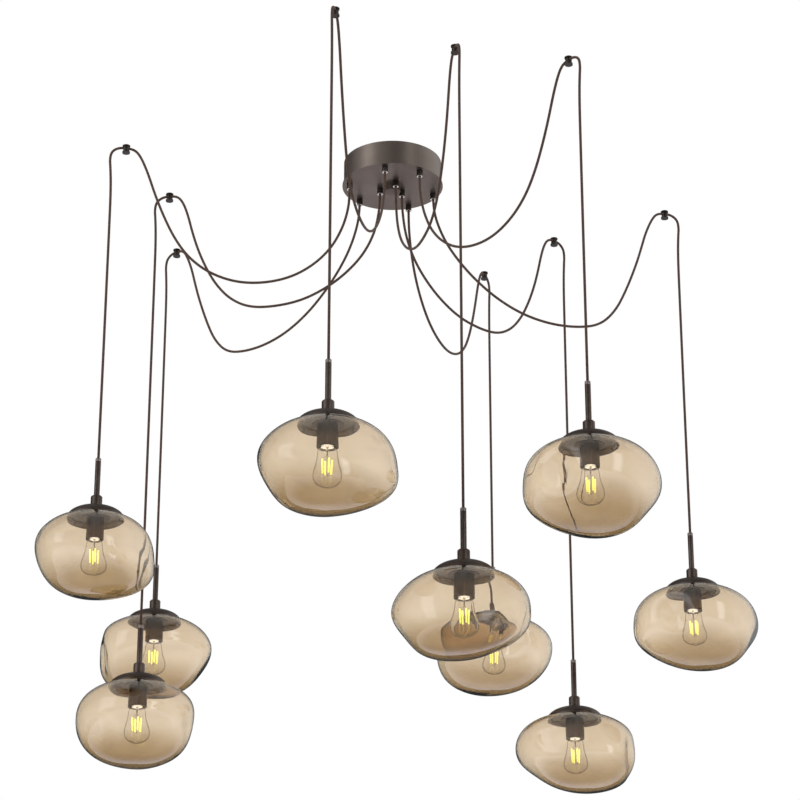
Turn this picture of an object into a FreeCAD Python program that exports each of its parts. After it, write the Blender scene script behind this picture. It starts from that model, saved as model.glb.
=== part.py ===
import FreeCAD, Part
import math
import os

os.makedirs("parts", exist_ok=True)
Vector = FreeCAD.Vector

# A cluster light of nine glass pendants. One canopy on the ceiling feeds nine cords.
# Each cord swags outward to its own ceiling hook, turns over it and drops to its pendant.
# Lengths are in millimetres and angles in degrees. The origin is the middle of the canopy
# on the ceiling plane, +Z points up, and the ceiling is the plane of height zero.

# General sizes
overrun = 5.0
free_gap = 0.25
seat_gap = 0.1
bend_share = 0.45

# Layout: three groups of three cords, each group in a fan of neighbouring radial planes
group_count = 3
first_group_angle = -75.8
fan_angle = 24.0
low_hook_radius = 561.0
outer_hook_radius = 709.0
high_hook_radius = 629.0
inner_grip_gap = 5.0
outer_grip_inset = 13.0
outer_rim_drop = 981.0
low_rim_drop = 1240.0
high_rim_drop = 936.0

# Cord
cord_diameter = 6.0
cord_outset = 31.0
swing_drop = 58.0
swing_gap = 0.8
cord_start_depth = 52.0

# Canopy
drum_diameter = 230.0
drum_wall = 1.5
drum_lip_gap = 0.7
plate_overhang = 3.5
plate_thickness = 3.0
plate_drop = 61.0
cap_nut_diameter = 37.0
cap_nut_height = 14.7
cap_nut_edge = 1.2

# Ceiling crossbar and what hangs on it
crossbar_end = 11.55
crossbar_width = 22.0
crossbar_thickness = 2.0
box_hole_spacing = 88.9
box_hole_diameter = 5.0
nipple_diameter = 9.6
nut_width = 15.0
nut_height = 5.0
ground_screw_diameter = 4.0
ground_screw_length = 8.0
ground_screw_offset = 30.0
terminal_diameter = 44.0
terminal_height = 14.0
terminal_top_drop = 18.0
lead_diameter = 4.0
lead_bend_radius = 7.0

# Cord grips in the canopy plate
grip_wall = 1.75
grip_shoulder = 2.0
grip_height = 14.0
grip_shank_spare = 2.5
grip_nut_rim = 1.75
grip_nut_height = 4.0
grip_ring_edge = 0.5
grip_ring_height = 1.2

# Ceiling hooks, one for each cord
hook_flange_diameter = 18.2
hook_flange_height = 2.8
hook_neck_diameter = 14.6
hook_neck_drop = 15.8
hook_height = 19.2
hook_cord_room = 2.0
hook_cord_hole_drop = 7.0
hook_bore_diameter = 7.6
hook_fixing_hole_diameter = 4.0
hook_sink_diameter = 7.0
hook_sink_height = 1.8

# Pendant fitting, measured up and down from the rim plane of its dome cap
stem_diameter = 12.7
stem_top = 144.5
stem_cord_depth = 20.0
stem_nut_width = 20.0
ferrule_height = 8.0
collar_diameter = 25.7
collar_height = 26.5
dome_height = 27.5
dome_wall = 1.5
disc_diameter = 65.0
disc_thickness = 2.0
disc_top = 3.0
cup_diameter = 41.0
cup_length = 49.0
cup_wall = 1.5
cup_roof = 3.0
holder_gap = 0.3
holder_roof_gap = 7.0
holder_roof = 3.0
mouth_ring_height = 2.0
glass_screw_count = 3
glass_screw_diameter = 4.0
glass_screw_length = 6.75
glass_screw_height = 3.5
glass_screw_side = -90.0

# Bulb
bulb_base_diameter = 26.0
bulb_base_length = 23.0
bulb_diameter = 58.0
bulb_shoulder_diameter = 38.0
bulb_shoulder_drop = 9.0
bulb_wide_drop = 60.0
bulb_length = 81.0
bulb_wall = 0.9
bulb_tip_diameter = 7.0
bulb_contact_diameter = 10.0
bulb_contact_height = 3.0
bulb_stem_diameter = 6.0
bulb_stem_drop = 50.0
filament_count = 4
filament_diameter = 1.6
filament_length = 27.0
filament_top_radius = 6.5
filament_foot_radius = 3.4
filament_top_drop = 24.0
filament_plate_height = 1.0

# Glass shades: one blown form, a little larger or smaller and turned on each pendant
shade_widths = [272.0, 268.0, 277.0, 280.0, 281.0, 289.0, 274.0, 271.0, 263.0]
shade_heights = [198.0, 183.0, 182.0, 179.0, 174.0, 165.0, 174.0, 182.0, 187.0]
shade_turns = [26, 1, 187, 196, 321, 243, 147, 96, 50]
# How far each shade's foot leans from its axis, as shares of half its width
shade_lean_shares = [
    (-0.20, -0.35), (-0.20, -0.35), (-0.15, -0.15), (-0.20, 0.0), (0.20, 0.0),
    (-0.20, -0.15), (0.10, -0.05), (0.0, 0.05), (-0.15, -0.20),
]
shade_wall = 3.0
shade_mouth_diameter = 108.0
shade_lip_height = 9.0
shade_shoulder_width = 7.0
shade_widest_share = 0.43
shade_fullness_share = 2.26
# Each row is a swell, or a dent where it is negative: its side in degrees, its depth as a
# share of the height, its reach as a share of the radius, and how far it spreads round.
shade_swell_shares = [
    (343, 0.76, 0.11, 27),
    (187, 0.59, 0.13, 33),
    (284, 0.44, -0.10, 26),
    (183, 0.77, -0.19, 54),
    (44, 0.52, -0.20, 20),
]
shade_swell_height_share = 0.28
shade_swell_fade_share = 0.25
shade_section_shares = [0, 0.02, 0.06, 0.14, 0.26, 0.40, 0.55, 0.69, 0.81, 0.90, 0.96, 0.99]
shade_section_points = 30

# Sizes that follow from those above
plate_diameter = drum_diameter + 2 * plate_overhang
crossbar_length = box_hole_spacing + 2 * crossbar_end
grip_bore = cord_diameter + 2 * free_gap
grip_shank_diameter = grip_bore + 2 * grip_wall
grip_diameter = grip_shank_diameter + 2 * grip_shoulder
grip_nut_width = grip_shank_diameter + 2 * grip_nut_rim
grip_ring_diameter = grip_diameter - 2 * grip_ring_edge
inner_grip_radius = (cap_nut_diameter + grip_diameter) / 2 + inner_grip_gap
outer_grip_radius = drum_diameter / 2 - outer_grip_inset
drum_lip_radius = outer_grip_radius + grip_nut_width / math.sqrt(3) + drum_lip_gap
hook_cord_hole_diameter = cord_diameter + hook_cord_room
lip_diameter = shade_mouth_diameter + 2 * shade_wall
dome_diameter = lip_diameter + 2 * (free_gap + glass_screw_length)
shade_shoulder_diameter = shade_mouth_diameter + 2 * shade_shoulder_width
holder_diameter = cup_diameter - 2 * (cup_wall + holder_gap)

# Where the cord goes over its hook: distances outward from the hook, and heights
hook_arch = [
    (-37, -31), (-22, -10), (0, -6), (18, -8), (30, -20), (cord_outset, -39),
    (cord_outset, -swing_drop),
]

# Routes from the grip to the hook: distances outward from the middle, and heights
outer_swag = [
    (outer_grip_radius, -52), (outer_grip_radius, -90), (110, -132), (132, -182), (165, -227),
    (208, -270), (262, -310), (326, -340), (396, -354), (466, -352), (526, -336), (568, -292),
    (598, -232), (626, -162), (643, -110), (655, -70),
]
low_swag = [
    (inner_grip_radius, -52), (inner_grip_radius, -88), (34, -128), (44, -176), (69, -226),
    (108, -268), (158, -303), (221, -329), (290, -336), (350, -330), (397, -304), (434, -262),
    (462, -212), (484, -160), (500, -110), (511, -68),
]
high_swag = [
    (outer_grip_radius, -52), (outer_grip_radius, -88), (105, -128), (118, -178), (144, -232),
    (184, -278), (236, -314), (300, -334), (366, -336), (428, -316), (476, -280), (510, -232),
    (537, -176), (559, -120), (575, -72),
]

# One row per cord of a group: fan place, hook radius, rim drop, grip radius, route
cord_kinds = [
    (-1, outer_hook_radius, outer_rim_drop, outer_grip_radius, outer_swag),
    (0, low_hook_radius, low_rim_drop, inner_grip_radius, low_swag),
    (1, high_hook_radius, high_rim_drop, outer_grip_radius, high_swag),
]


def save(name, solids):
    shape = Part.makeCompound(solids) if len(solids) > 1 else solids[0]
    shape.exportStep("parts/" + name + ".step")
    print(name, len(solids), "solids", round(sum(s.Volume for s in solids)), "mm3")


def rod(diameter, low, high):
    return Part.makeCylinder(diameter / 2, high - low, Vector(0, 0, low))


def pipe(outside, inside, low, high):
    bore = rod(inside, low - overrun, high + overrun)
    return rod(outside, low, high).cut(bore)


def hexagon(width, bore, low, high):
    corner = width / math.sqrt(3)
    points = []
    for side in range(7):
        angle = math.radians(60 * side)
        points.append(Vector(corner * math.cos(angle), corner * math.sin(angle), low))
    prism = Part.Face(Part.makePolygon(points)).extrude(Vector(0, 0, high - low))
    return prism.cut(rod(bore, low - overrun, high + overrun))


def turned(points):
    corners = [Vector(radius, 0, height) for radius, height in points]
    face = Part.Face(Part.makePolygon(corners + corners[:1]))
    return face.revolve(Vector(0, 0, 0), Vector(0, 0, 1), 360)


def put(shape, angle, radius, height):
    moved = shape.copy()
    moved.translate(Vector(radius, 0, height))
    moved.rotate(Vector(0, 0, 0), Vector(0, 0, 1), angle)
    return moved


def cord_tube(points, diameter, name):
    """A tube along straight runs, joined by arcs as large as the runs allow."""
    edges = []
    radii = []
    start = points[0]
    length = 0.0
    for before, corner, after in zip(points, points[1:], points[2:]):
        back = before.sub(corner)
        ahead = after.sub(corner)
        reach = bend_share * min(back.Length, ahead.Length)
        turn = math.pi - back.getAngle(ahead)
        radius = reach / math.tan(turn / 2)
        back.normalize()
        ahead.normalize()
        arc_start = corner + back * reach
        arc_end = corner + ahead * reach
        inward = (back + ahead).normalize()
        middle = corner + inward * (radius / math.cos(turn / 2) - radius)
        edges.append(Part.LineSegment(start, arc_start).toShape())
        edges.append(Part.Arc(arc_start, middle, arc_end).toShape())
        length += (arc_start - start).Length + radius * turn
        radii.append(radius)
        start = arc_end
    edges.append(Part.LineSegment(start, points[-1]).toShape())
    length += (points[-1] - start).Length
    path = Part.Wire(edges)
    circle = Part.makeCircle(diameter / 2, points[0], points[1] - points[0])
    tube = path.makePipeShell([Part.Wire([circle])], True, False)
    wanted = math.pi * diameter ** 2 / 4 * length
    print(name, "length", round(length), "volume share", round(tube.Volume / wanted, 4))
    print("  radii", [round(radius) for radius in radii])
    return tube


# Canopy

def canopy_drum():
    plate_top = plate_thickness - plate_drop
    side = pipe(drum_diameter, drum_diameter - 2 * drum_wall, plate_top, 0)
    lip = pipe(drum_diameter, 2 * drum_lip_radius, plate_top, plate_top + drum_wall)
    return side.fuse(lip).removeSplitter()


def grip_places():
    places = []
    for group in range(group_count):
        for fan_place, hook_radius, rim_drop, grip_radius, route in cord_kinds:
            angle = first_group_angle + group * 360 / group_count + fan_place * fan_angle
            places.append((angle, grip_radius))
    return places


def canopy_plate():
    plate = rod(plate_diameter, -plate_drop, plate_thickness - plate_drop)
    plate = plate.cut(rod(nipple_diameter + 2 * free_gap, -plate_drop - overrun, 0))
    hole = rod(grip_shank_diameter + 2 * free_gap, -plate_drop - overrun, 0)
    for angle, radius in grip_places():
        plate = plate.cut(put(hole, angle, radius, 0))
    return plate


def canopy_cap_nut():
    top = -plate_drop
    foot = top - cap_nut_height
    rim = cap_nut_diameter / 2
    body = turned([
        (0, top), (rim, top), (rim, foot + cap_nut_edge), (rim - cap_nut_edge, foot), (0, foot),
    ])
    bore = nipple_diameter + 2 * seat_gap
    return body.cut(rod(bore, foot + cap_nut_height / 2, top + overrun))


def ceiling_crossbar():
    corner = Vector(-crossbar_length / 2, -crossbar_width / 2, -crossbar_thickness)
    bar = Part.makeBox(crossbar_length, crossbar_width, crossbar_thickness, corner)
    bar = bar.cut(rod(nipple_diameter + 2 * seat_gap, -crossbar_thickness - overrun, overrun))
    box_hole = rod(box_hole_diameter, -crossbar_thickness - overrun, overrun)
    for side in (-1, 1):
        bar = bar.cut(box_hole.translated(Vector(side * box_hole_spacing / 2, 0, 0)))
    ground_hole = rod(ground_screw_diameter + 2 * seat_gap, -crossbar_thickness - overrun, overrun)
    return bar.cut(ground_hole.translated(Vector(ground_screw_offset, 0, 0)))


def ground_screw():
    shank = rod(ground_screw_diameter, -ground_screw_length, 0)
    head_top = -crossbar_thickness
    head = rod(2 * ground_screw_diameter, head_top - ground_screw_diameter / 2, head_top)
    slot_width = ground_screw_diameter / 4
    screw = shank.fuse(head).removeSplitter()
    foot = min(-ground_screw_length, head_top - ground_screw_diameter / 2)
    slot = Part.makeBox(
        3 * ground_screw_diameter, slot_width, slot_width,
        Vector(-1.5 * ground_screw_diameter, -slot_width / 2, foot),
    )
    return screw.cut(slot).translated(Vector(ground_screw_offset, 0, 0))


def threaded_nipple():
    return pipe(nipple_diameter, nipple_diameter / 2, -plate_drop - cap_nut_height / 3, 0)


def nipple_nuts():
    bore = nipple_diameter + 2 * seat_gap
    terminal_foot = -terminal_top_drop - terminal_height
    tops = [-crossbar_thickness, terminal_foot]
    return [hexagon(nut_width, bore, top - nut_height, top) for top in tops]


def terminal_block():
    top = -terminal_top_drop
    bore = nipple_diameter + 2 * seat_gap
    block = pipe(terminal_diameter, bore, top - terminal_height, top)
    port = Part.makeCylinder(
        lead_diameter / 2 + seat_gap, terminal_diameter / 4,
        Vector(terminal_diameter / 4 + lead_diameter, 0, top - terminal_height / 2), Vector(1, 0, 0),
    )
    for angle, radius in grip_places():
        block = block.cut(put(port, angle, 0, 0))
    return block


def inner_leads():
    height = -terminal_top_drop - terminal_height / 2
    end_radius = terminal_diameter / 2 - lead_diameter
    leads = []
    for angle, radius in grip_places():
        points = [
            Vector(radius, 0, -cord_start_depth),
            Vector(radius, 0, height),
            Vector(end_radius, 0, height),
        ]
        bend = min(lead_bend_radius, bend_share * (radius - end_radius))
        up_end = Vector(radius, 0, height - bend)
        in_start = Vector(radius - bend, 0, height)
        middle = Vector(radius - bend + bend / math.sqrt(2), 0, height - bend + bend / math.sqrt(2))
        path = Part.Wire([
            Part.LineSegment(points[0], up_end).toShape(),
            Part.Arc(up_end, middle, in_start).toShape(),
            Part.LineSegment(in_start, points[2]).toShape(),
        ])
        circle = Part.makeCircle(lead_diameter / 2, points[0], Vector(0, 0, 1))
        lead = path.makePipeShell([Part.Wire([circle])], True, False)
        leads.append(put(lead, angle, 0, 0))
    return leads


# Cord grips

def cord_grip():
    plate_top = plate_thickness - plate_drop
    foot = -plate_drop - grip_height
    body = turned([
        (0, foot), (grip_diameter / 2 - free_gap, foot), (grip_diameter / 2, foot + free_gap),
        (grip_diameter / 2, -plate_drop), (0, -plate_drop),
    ])
    shank = rod(grip_shank_diameter, -plate_drop, plate_top + grip_nut_height + grip_shank_spare)
    return body.fuse(shank).removeSplitter().cut(rod(grip_bore, foot - overrun, 0))


def grip_nut():
    low = plate_thickness - plate_drop
    return hexagon(grip_nut_width, grip_shank_diameter + 2 * seat_gap, low, low + grip_nut_height)


def grip_ring():
    top = -plate_drop - grip_height
    return pipe(grip_ring_diameter, grip_bore + 2 * free_gap, top - grip_ring_height, top)


# Ceiling hooks

def hook_spool():
    flange = rod(hook_flange_diameter, -hook_flange_height, 0)
    neck = rod(hook_neck_diameter, -hook_neck_drop, 0)
    spool = flange.fuse(neck).removeSplitter()
    spool = spool.cut(rod(hook_bore_diameter, -hook_neck_drop - overrun, -hook_flange_height))
    spool = spool.cut(rod(hook_fixing_hole_diameter, -hook_flange_height - overrun, overrun))
    sink = Part.makeCone(
        hook_sink_diameter / 2, hook_fixing_hole_diameter / 2,
        hook_sink_height, Vector(0, 0, -hook_flange_height),
    )
    spool = spool.cut(sink)
    hole = Part.makeCylinder(
        hook_cord_hole_diameter / 2, 2 * hook_flange_diameter,
        Vector(-hook_flange_diameter, 0, -hook_cord_hole_drop), Vector(1, 0, 0),
    )
    return spool.cut(hole)


def hook_clamp():
    stud_top = -hook_cord_hole_drop - hook_cord_hole_diameter / 2 - seat_gap
    stud = rod(hook_bore_diameter - 2 * seat_gap, -hook_neck_drop, stud_top)
    flange = rod(hook_flange_diameter, -hook_height, -hook_neck_drop)
    return stud.fuse(flange).removeSplitter()


# Pendant fitting, built with the rim plane of the dome cap at height zero

def half_ellipsoid(radius, height):
    ellipse = Part.Ellipse(Vector(radius, 0, 0), Vector(0, 0, height), Vector(0, 0, 0))
    curve = Part.Arc(ellipse, 0, math.pi / 2).toShape()
    foot = Part.LineSegment(Vector(0, 0, 0), Vector(radius, 0, 0)).toShape()
    axis = Part.LineSegment(Vector(0, 0, height), Vector(0, 0, 0)).toShape()
    return Part.Face(Part.Wire([foot, curve, axis])).revolve(Vector(0, 0, 0), Vector(0, 0, 1), 360)


def dome_cap():
    dome = half_ellipsoid(dome_diameter / 2, dome_height)
    dome = dome.cut(half_ellipsoid(dome_diameter / 2 - dome_wall, dome_height - dome_wall))
    dome = dome.cut(rod(stem_diameter + 2 * seat_gap, 0, dome_height + overrun))
    for screw in range(glass_screw_count):
        dome = dome.cut(glass_screw(screw, seat_gap))
    return dome


def glass_screw(place, spare):
    inner = lip_diameter / 2 + free_gap
    screw = Part.makeCylinder(
        glass_screw_diameter / 2 + spare, glass_screw_length,
        Vector(inner, 0, glass_screw_height), Vector(1, 0, 0),
    )
    return put(screw, place * 360 / glass_screw_count, 0, 0)


def socket_cup():
    top = disc_top - disc_thickness
    foot = top - cup_length
    cup = rod(cup_diameter, foot, top)
    cup = cup.cut(rod(cup_diameter - 2 * cup_wall, foot - overrun, top - cup_roof))
    return cup.cut(rod(stem_diameter + 2 * seat_gap, foot, top + overrun))


def lampholder():
    cup_top = disc_top - disc_thickness
    foot = cup_top - cup_length + mouth_ring_height + seat_gap
    top = cup_top - cup_roof - holder_roof_gap
    body = rod(holder_diameter, foot, top)
    well = bulb_base_diameter + 2 * free_gap
    return body.cut(rod(well, foot - overrun, top - holder_roof))


def pendant_fitting():
    cup_top = disc_top - disc_thickness
    cup_foot = cup_top - cup_length
    stem_foot = cup_top - cup_roof - nut_height
    cord_bore = cord_diameter + 2 * free_gap
    tube_top = stem_top - ferrule_height
    stem = pipe(stem_diameter, cord_bore, stem_foot, tube_top)
    ferrule = pipe(stem_diameter, cord_bore, tube_top, stem_top)
    collar_bore = stem_diameter + 2 * seat_gap
    collar = pipe(collar_diameter, collar_bore, dome_height, dome_height + collar_height)
    disc = pipe(disc_diameter, collar_bore, cup_top, disc_top)
    nut_share = stem_nut_width / math.sqrt(3) / (dome_diameter / 2 - dome_wall)
    nut_top = (dome_height - dome_wall) * math.sqrt(1 - nut_share ** 2) - seat_gap
    dome_nut = hexagon(stem_nut_width, collar_bore, nut_top - nut_height, nut_top)
    roof_foot = cup_top - cup_roof
    cup_nut = hexagon(stem_nut_width, collar_bore, roof_foot - nut_height, roof_foot)
    ring_diameter = cup_diameter - 2 * cup_wall - 2 * seat_gap
    ring_bore = bulb_base_diameter + 6 * free_gap
    mouth_ring = pipe(ring_diameter, ring_bore, cup_foot, cup_foot + mouth_ring_height)
    pieces = [stem, ferrule, collar, dome_cap(), dome_nut, disc]
    pieces += [socket_cup(), cup_nut, lampholder(), mouth_ring]
    return pieces + [glass_screw(place, 0) for place in range(glass_screw_count)]


# Bulb

def bulb_outline(inset, mouth):
    """The outline of the bulb's glass: a short neck, a square shoulder and a long taper to its wide foot."""
    neck = bulb_base_diameter / 2 - inset
    shoulder = bulb_shoulder_diameter / 2 - inset
    wide = bulb_diameter / 2 - inset
    tip = mouth - bulb_length + inset
    widest = mouth - bulb_wide_drop
    upper = Part.BSplineCurve()
    upper.buildFromPoles([
        Vector(neck, 0, mouth + mouth_ring_height), Vector(neck, 0, mouth - mouth_ring_height),
        Vector(shoulder, 0, mouth - bulb_shoulder_drop / 2),
        Vector(shoulder, 0, mouth - bulb_wide_drop / 2),
        Vector(wide, 0, widest + bulb_shoulder_drop), Vector(wide, 0, widest),
    ])
    lower = Part.BSplineCurve()
    half = math.sqrt(0.5)
    lower.interpolate(
        Points=[
            Vector(wide, 0, widest), Vector(wide * half, 0, widest - (widest - tip) * half),
            Vector(0, 0, tip),
        ],
        InitialTangent=Vector(0, 0, -1), FinalTangent=Vector(-1, 0, 0),
    )
    return upper.toShape(), lower.toShape()


def bulb():
    cup_foot = disc_top - disc_thickness - cup_length
    outer_side, outer_foot = bulb_outline(0, cup_foot)
    inner_side, inner_foot = bulb_outline(bulb_wall, cup_foot)
    top = cup_foot + mouth_ring_height
    neck = bulb_base_diameter / 2
    brim = Part.LineSegment(Vector(neck - bulb_wall, 0, top), Vector(neck, 0, top)).toShape()
    tip = cup_foot - bulb_length
    floor = Part.LineSegment(Vector(0, 0, tip + bulb_wall), Vector(0, 0, tip)).toShape()
    edges = Part.sortEdges([brim, outer_side, outer_foot, floor, inner_foot, inner_side])[0]
    glass = Part.Face(Part.Wire(edges)).revolve(Vector(0, 0, 0), Vector(0, 0, 1), 360)
    nub = Part.makeSphere(bulb_tip_diameter / 2, Vector(0, 0, tip + bulb_tip_diameter / 4))
    nub = nub.cut(rod(2 * bulb_tip_diameter, tip + bulb_wall / 2, tip + bulb_tip_diameter))
    glass = glass.fuse(nub).removeSplitter()
    base_top = top + bulb_base_length
    base = rod(bulb_base_diameter, top, base_top)
    contact = rod(bulb_contact_diameter, base_top, base_top + bulb_contact_height)
    base = base.fuse(contact).removeSplitter()
    stem_foot = top - bulb_stem_drop
    plate_top = cup_foot - filament_top_drop
    stem = rod(bulb_stem_diameter, stem_foot, top)
    plate_width = 2 * filament_top_radius + filament_diameter
    plate = rod(plate_width, plate_top, plate_top + filament_plate_height)
    stem = stem.fuse(plate).removeSplitter()
    foot_height = plate_top - filament_length
    filaments = []
    for place in range(filament_count):
        start = Vector(filament_top_radius, 0, plate_top - seat_gap)
        end = Vector(filament_foot_radius + filament_diameter, 0, foot_height)
        line = end.sub(start)
        strip = Part.makeCylinder(filament_diameter / 2, line.Length, start, line)
        filaments.append(put(strip, (place + 0.5) * 360 / filament_count, 0, 0))
    return [glass, base, stem] + filaments


# Glass shade, built with the rim plane of the dome cap at height zero

def shade_radius(share, width):
    """The shade's mean radius at a share of its height below the rim plane."""
    power = shade_fullness_share
    if share < shade_widest_share:
        shoulder = (1 - (shade_shoulder_diameter / width) ** power) ** (1 / power)
        reach = (shade_widest_share - share) / shade_widest_share * shoulder
    else:
        reach = (share - shade_widest_share) / (1 - shade_widest_share)
    return width / 2 * (1 - reach ** power) ** (1 / power)


def shade_swell(angle, share):
    """How far the blown form swells or dents there, as a share of its mean radius."""
    swell = 1.0
    fade = min(1, share / shade_swell_fade_share)
    for side, height_share, reach_share, spread in shade_swell_shares:
        turn = (angle - side + 180) % 360 - 180
        round_off = math.exp(-(turn / spread) ** 2)
        level_off = math.exp(-((share - height_share) / shade_swell_height_share) ** 2)
        swell += reach_share * round_off * level_off * fade
    return swell


def shade_section(share, width, height, lean_share):
    """A level outline of the shade at a share of its height."""
    points = []
    for place in range(shade_section_points):
        angle = 360 * place / shade_section_points
        reach = shade_radius(share, width) * shade_swell(angle, share)
        side_x = lean_share[0] * width / 2 * share ** 2
        side_y = lean_share[1] * width / 2 * share ** 2
        x = reach * math.cos(math.radians(angle)) + side_x
        y = reach * math.sin(math.radians(angle)) + side_y
        points.append(Vector(x, y, -share * height))
    curve = Part.BSplineCurve()
    curve.interpolate(Points=points, PeriodicFlag=True)
    return Part.Wire([curve.toShape()])


def glass_shade(width, height, lean_share):
    sections = [shade_section(share, width, height, lean_share) for share in shade_section_shares]
    outside = Part.makeLoft(sections, True)
    inside = outside.copy()
    inside.scale(1 - 2 * shade_wall / width, Vector(0, 0, -shade_widest_share * height))
    shell = outside.cut(inside)
    lip = rod(lip_diameter, -shade_wall / 2, shade_lip_height)
    mouth = rod(shade_mouth_diameter, -height / 8, shade_lip_height + overrun)
    return shell.fuse(lip).cut(mouth).removeSplitter()


# The object, node by node

def save_ceiling_parts():
    places = grip_places()
    save("ceiling_crossbar", [ceiling_crossbar()])
    save("ground_screw", [ground_screw()])
    save("threaded_nipple", [threaded_nipple()])
    save("nipple_nuts", nipple_nuts())
    save("terminal_block", [terminal_block()])
    save("inner_leads", inner_leads())
    save("canopy_drum", [canopy_drum()])
    save("canopy_plate", [canopy_plate()])
    save("canopy_cap_nut", [canopy_cap_nut()])
    save("cord_grips", [put(cord_grip(), angle, radius, 0) for angle, radius in places])
    save("grip_nuts", [put(grip_nut(), angle, radius, 0) for angle, radius in places])
    save("grip_rings", [put(grip_ring(), angle, radius, 0) for angle, radius in places])


def save_hooks():
    spools = []
    clamps = []
    for group in range(group_count):
        for fan_place, hook_radius, rim_drop, grip_radius, route in cord_kinds:
            angle = first_group_angle + group * 360 / group_count + fan_place * fan_angle
            spools.append(put(hook_spool(), angle, hook_radius, 0))
            clamps.append(put(hook_clamp(), angle, hook_radius, 0))
    save("hook_spools", spools)
    save("hook_clamps", clamps)


def save_pendants():
    fitting = pendant_fitting()
    lamp = bulb()
    swags = []
    for fan_place, hook_radius, rim_drop, grip_radius, route in cord_kinds:
        arch = [(hook_radius + out, height) for out, height in hook_arch]
        points = [Vector(out, 0, height) for out, height in route + arch]
        swags.append(cord_tube(points, cord_diameter, "swag"))
    number = 0
    for group in range(group_count):
        for kind, swag in zip(cord_kinds, swags):
            fan_place, hook_radius, rim_drop, grip_radius, route = kind
            angle = first_group_angle + group * 360 / group_count + fan_place * fan_angle
            axis_radius = hook_radius + cord_outset
            cord_foot = stem_top - stem_cord_depth - rim_drop
            drop = rod(cord_diameter, cord_foot, -swing_drop - swing_gap)
            width, height = shade_widths[number], shade_heights[number]
            shade = glass_shade(width, height, shade_lean_shares[number])
            shade = put(shade, shade_turns[number] - angle, 0, 0)
            number += 1
            name = "pendant_" + str(number)
            save(name + "_swag_cord", [put(swag, angle, 0, 0)])
            save(name + "_drop_cord", [put(drop, angle, axis_radius, 0)])
            faced = [put(piece, glass_screw_side - angle, 0, -rim_drop) for piece in fitting]
            save(name + "_fitting", [put(piece, angle, axis_radius, 0) for piece in faced])
            save(name + "_bulb", [put(piece, angle, axis_radius, -rim_drop) for piece in lamp])
            save(name + "_shade", [put(shade, angle, axis_radius, -rim_drop)])


save_ceiling_parts()
save_hooks()
save_pendants()
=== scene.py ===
# %% [markdown]
# # A cluster of nine blown-glass pendants
#
# This lesson dresses a finished construction. The canopy, hooks and fittings already have
# their real sizes in a fixed frame, and each step below gives one family of pieces its look:
# cloth cords, blown glass, clear bulbs, turned bronze, and the plain studio around them.
# Lengths are in metres. Height zero is the ceiling, and the origin is the canopy's middle.

# %% Load the frame
import math
import bpy
from mathutils import Euler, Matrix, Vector, noise


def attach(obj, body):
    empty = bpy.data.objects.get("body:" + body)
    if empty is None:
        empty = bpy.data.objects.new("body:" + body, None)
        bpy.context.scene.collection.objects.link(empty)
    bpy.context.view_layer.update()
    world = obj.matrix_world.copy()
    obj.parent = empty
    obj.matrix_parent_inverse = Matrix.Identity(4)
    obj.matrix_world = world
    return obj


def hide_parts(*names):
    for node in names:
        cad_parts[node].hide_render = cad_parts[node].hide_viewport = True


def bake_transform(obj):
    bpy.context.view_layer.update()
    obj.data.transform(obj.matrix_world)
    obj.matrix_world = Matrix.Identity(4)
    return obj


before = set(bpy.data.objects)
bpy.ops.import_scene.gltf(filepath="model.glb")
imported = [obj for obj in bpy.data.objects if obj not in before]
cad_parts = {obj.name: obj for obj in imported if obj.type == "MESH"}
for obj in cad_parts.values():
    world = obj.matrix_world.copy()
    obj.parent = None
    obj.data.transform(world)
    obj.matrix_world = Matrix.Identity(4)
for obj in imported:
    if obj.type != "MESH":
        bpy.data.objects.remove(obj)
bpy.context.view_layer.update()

full_turn = 2 * math.pi
upright = Vector((0, 0, 1))


def on_circle(turn, radius=1.0, height=0.0):
    """A place on a level circle around the upright axis."""
    return Vector((radius * math.cos(turn), radius * math.sin(turn), height))


# %% [markdown]
# ## Where the nine cords go
#
# The light is three groups of three. Each cord lives in its own upright plane through the
# canopy's middle, so a place on it needs only a distance outward and a height. That is how
# the routes are written, once per kind, and a loop turns them into nine real routes.

# %% The layout of groups and kinds
group_count = 3
first_group_angle = -75.8
fan_angle = 24.0
cord_outset = 0.031
swing_drop = 0.0584

hook_arch = [
    (-0.037, -0.031), (-0.022, -0.010), (0.0, -0.006), (0.019, -0.007), (0.034, -0.018),
    (0.037, -0.039), (0.035, -0.058), (0.032, -0.105), (0.031, -0.190),
]
outer_swag = [
    (0.102, -0.052), (0.102, -0.090), (0.110, -0.132), (0.132, -0.182), (0.165, -0.227),
    (0.208, -0.270), (0.262, -0.310), (0.326, -0.340), (0.396, -0.354), (0.466, -0.352),
    (0.526, -0.336), (0.568, -0.292), (0.598, -0.232), (0.626, -0.162), (0.643, -0.110),
    (0.655, -0.070),
]
low_swag = [
    (0.0305, -0.052), (0.0305, -0.088), (0.034, -0.128), (0.044, -0.176), (0.069, -0.226),
    (0.108, -0.268), (0.158, -0.303), (0.221, -0.329), (0.290, -0.336), (0.350, -0.330),
    (0.397, -0.304), (0.434, -0.262), (0.462, -0.212), (0.484, -0.160), (0.500, -0.110),
    (0.511, -0.068),
]
high_swag = [
    (0.102, -0.052), (0.102, -0.088), (0.105, -0.128), (0.118, -0.178), (0.144, -0.232),
    (0.184, -0.278), (0.236, -0.314), (0.300, -0.334), (0.366, -0.336), (0.428, -0.316),
    (0.476, -0.280), (0.510, -0.232), (0.537, -0.176), (0.559, -0.120), (0.575, -0.072),
]

# fan place, hook's distance outward, cap rim's drop below the ceiling, route to the hook
cord_kinds = [
    (-1, 0.709, 0.981, outer_swag),
    (0, 0.561, 1.240, low_swag),
    (1, 0.629, 0.936, high_swag),
]

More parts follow.
